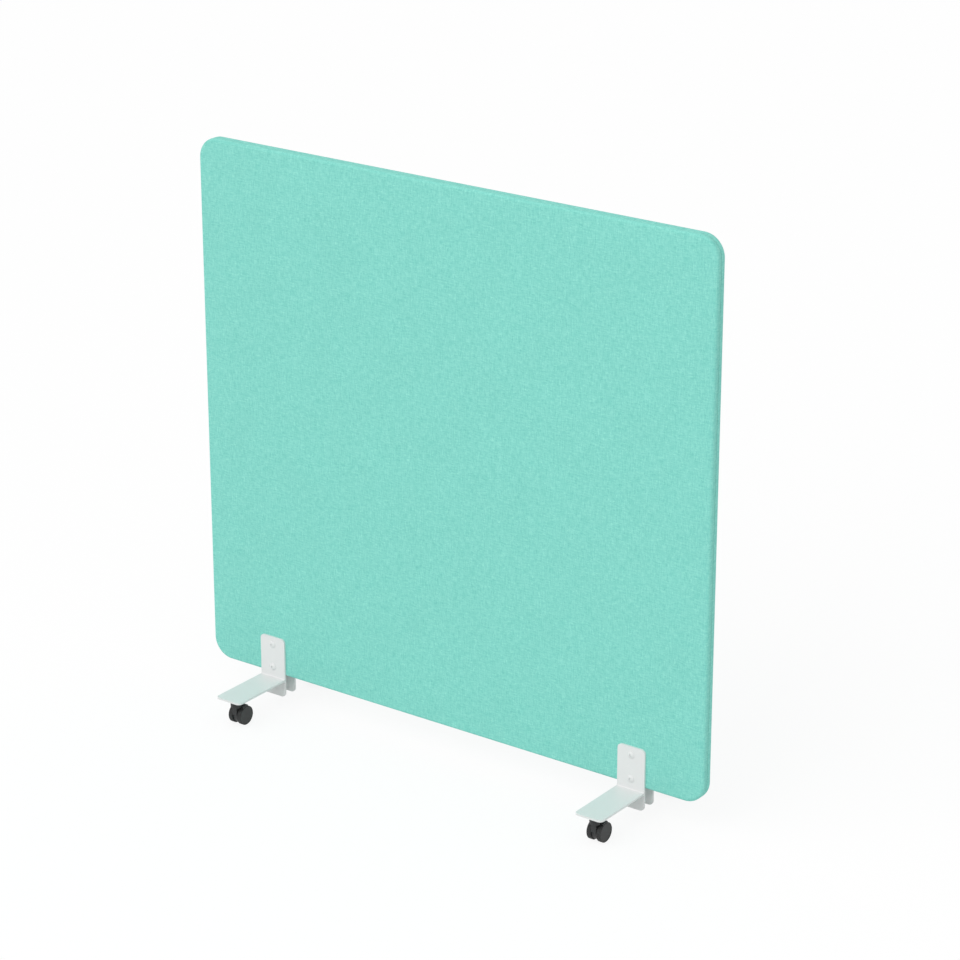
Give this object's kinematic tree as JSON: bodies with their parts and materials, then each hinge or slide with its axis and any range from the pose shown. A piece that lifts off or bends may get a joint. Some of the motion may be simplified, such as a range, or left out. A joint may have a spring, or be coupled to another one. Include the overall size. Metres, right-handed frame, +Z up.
{
  "type": "acoustic divider screen",
  "caption": "Free-standing fabric-covered acoustic screen with rounded corners, on steel brackets and swivelling twin-wheel casters.",
  "frame": {"origin": "on the floor, under the middle of the panel", "axes": "+X along the panel's width towards its right end, +Y from the front face to the rear face, +Z up"},
  "size_m": [1.2, 0.325, 1.181],
  "materials": {
    "cover_fabric": "mint melange woven fabric",
    "foam": "open-cell acoustic foam",
    "acoustic_infill": "mineral wool",
    "timber": "planed, unfinished",
    "white_coating": "satin powder coating",
    "steel": "zinc plated",
    "black_nylon": "moulded",
    "grey_nylon": "moulded"
  },
  "bodies": {
    "screen": {"top_rail": "timber", "bottom_rail": "timber", "left_stile": "timber", "middle_stile": "timber", "right_stile": "timber", "frame_dowels": "timber", "left_infill": "acoustic_infill", "right_infill": "acoustic_infill", "front_foam": "foam", "rear_foam": "foam", "front_cover": "cover_fabric", "rear_cover": "cover_fabric", "clamp_barrels": "white_coating", "clamp_screws": "white_coating", "front_left_bracket": "white_coating", "front_left_stem": "steel", "front_left_ring": "steel", "front_right_bracket": "white_coating", "front_right_stem": "steel", "front_right_ring": "steel", "rear_left_bracket": "white_coating", "rear_left_stem": "steel", "rear_left_ring": "steel", "rear_right_bracket": "white_coating", "rear_right_stem": "steel", "rear_right_ring": "steel"},
    "front_left_caster": {"front_left_hood": "black_nylon", "front_left_axle": "steel"},
    "front_left_roller_a": {"front_left_wheel_a": "grey_nylon"},
    "front_left_roller_b": {"front_left_wheel_b": "grey_nylon"},
    "front_right_caster": {"front_right_hood": "black_nylon", "front_right_axle": "steel"},
    "front_right_roller_a": {"front_right_wheel_a": "grey_nylon"},
    "front_right_roller_b": {"front_right_wheel_b": "grey_nylon"},
    "rear_left_caster": {"rear_left_hood": "black_nylon", "rear_left_axle": "steel"},
    "rear_left_roller_a": {"rear_left_wheel_a": "grey_nylon"},
    "rear_left_roller_b": {"rear_left_wheel_b": "grey_nylon"},
    "rear_right_caster": {"rear_right_hood": "black_nylon", "rear_right_axle": "steel"},
    "rear_right_roller_a": {"rear_right_wheel_a": "grey_nylon"},
    "rear_right_roller_b": {"rear_right_wheel_b": "grey_nylon"}
  },
  "joints": [
    {"name": "front_left_swivel", "type": "hinge", "parent": "screen", "child": "front_left_caster", "pos_m": [-0.44, -0.1365, 0.04], "axis": [0, 0, 1], "continuous": true},
    {"name": "front_left_roll_a", "type": "hinge", "parent": "front_left_caster", "child": "front_left_roller_a", "pos_m": [-0.44, -0.1225, 0.02], "axis": [1, 0, 0], "continuous": true},
    {"name": "front_left_roll_b", "type": "hinge", "parent": "front_left_caster", "child": "front_left_roller_b", "pos_m": [-0.44, -0.1225, 0.02], "axis": [1, 0, 0], "continuous": true},
    {"name": "front_right_swivel", "type": "hinge", "parent": "screen", "child": "front_right_caster", "pos_m": [0.44, -0.1365, 0.04], "axis": [0, 0, 1], "continuous": true},
    {"name": "front_right_roll_a", "type": "hinge", "parent": "front_right_caster", "child": "front_right_roller_a", "pos_m": [0.44, -0.1225, 0.02], "axis": [1, 0, 0], "continuous": true},
    {"name": "front_right_roll_b", "type": "hinge", "parent": "front_right_caster", "child": "front_right_roller_b", "pos_m": [0.44, -0.1225, 0.02], "axis": [1, 0, 0], "continuous": true},
    {"name": "rear_left_swivel", "type": "hinge", "parent": "screen", "child": "rear_left_caster", "pos_m": [-0.44, 0.1365, 0.04], "axis": [0, 0, 1], "continuous": true},
    {"name": "rear_left_roll_a", "type": "hinge", "parent": "rear_left_caster", "child": "rear_left_roller_a", "pos_m": [-0.44, 0.1225, 0.02], "axis": [1, 0, 0], "continuous": true},
    {"name": "rear_left_roll_b", "type": "hinge", "parent": "rear_left_caster", "child": "rear_left_roller_b", "pos_m": [-0.44, 0.1225, 0.02], "axis": [1, 0, 0], "continuous": true},
    {"name": "rear_right_swivel", "type": "hinge", "parent": "screen", "child": "rear_right_caster", "pos_m": [0.44, 0.1365, 0.04], "axis": [0, 0, 1], "continuous": true},
    {"name": "rear_right_roll_a", "type": "hinge", "parent": "rear_right_caster", "child": "rear_right_roller_a", "pos_m": [0.44, 0.1225, 0.02], "axis": [1, 0, 0], "continuous": true},
    {"name": "rear_right_roll_b", "type": "hinge", "parent": "rear_right_caster", "child": "rear_right_roller_b", "pos_m": [0.44, 0.1225, 0.02], "axis": [1, 0, 0], "continuous": true}
  ]
}
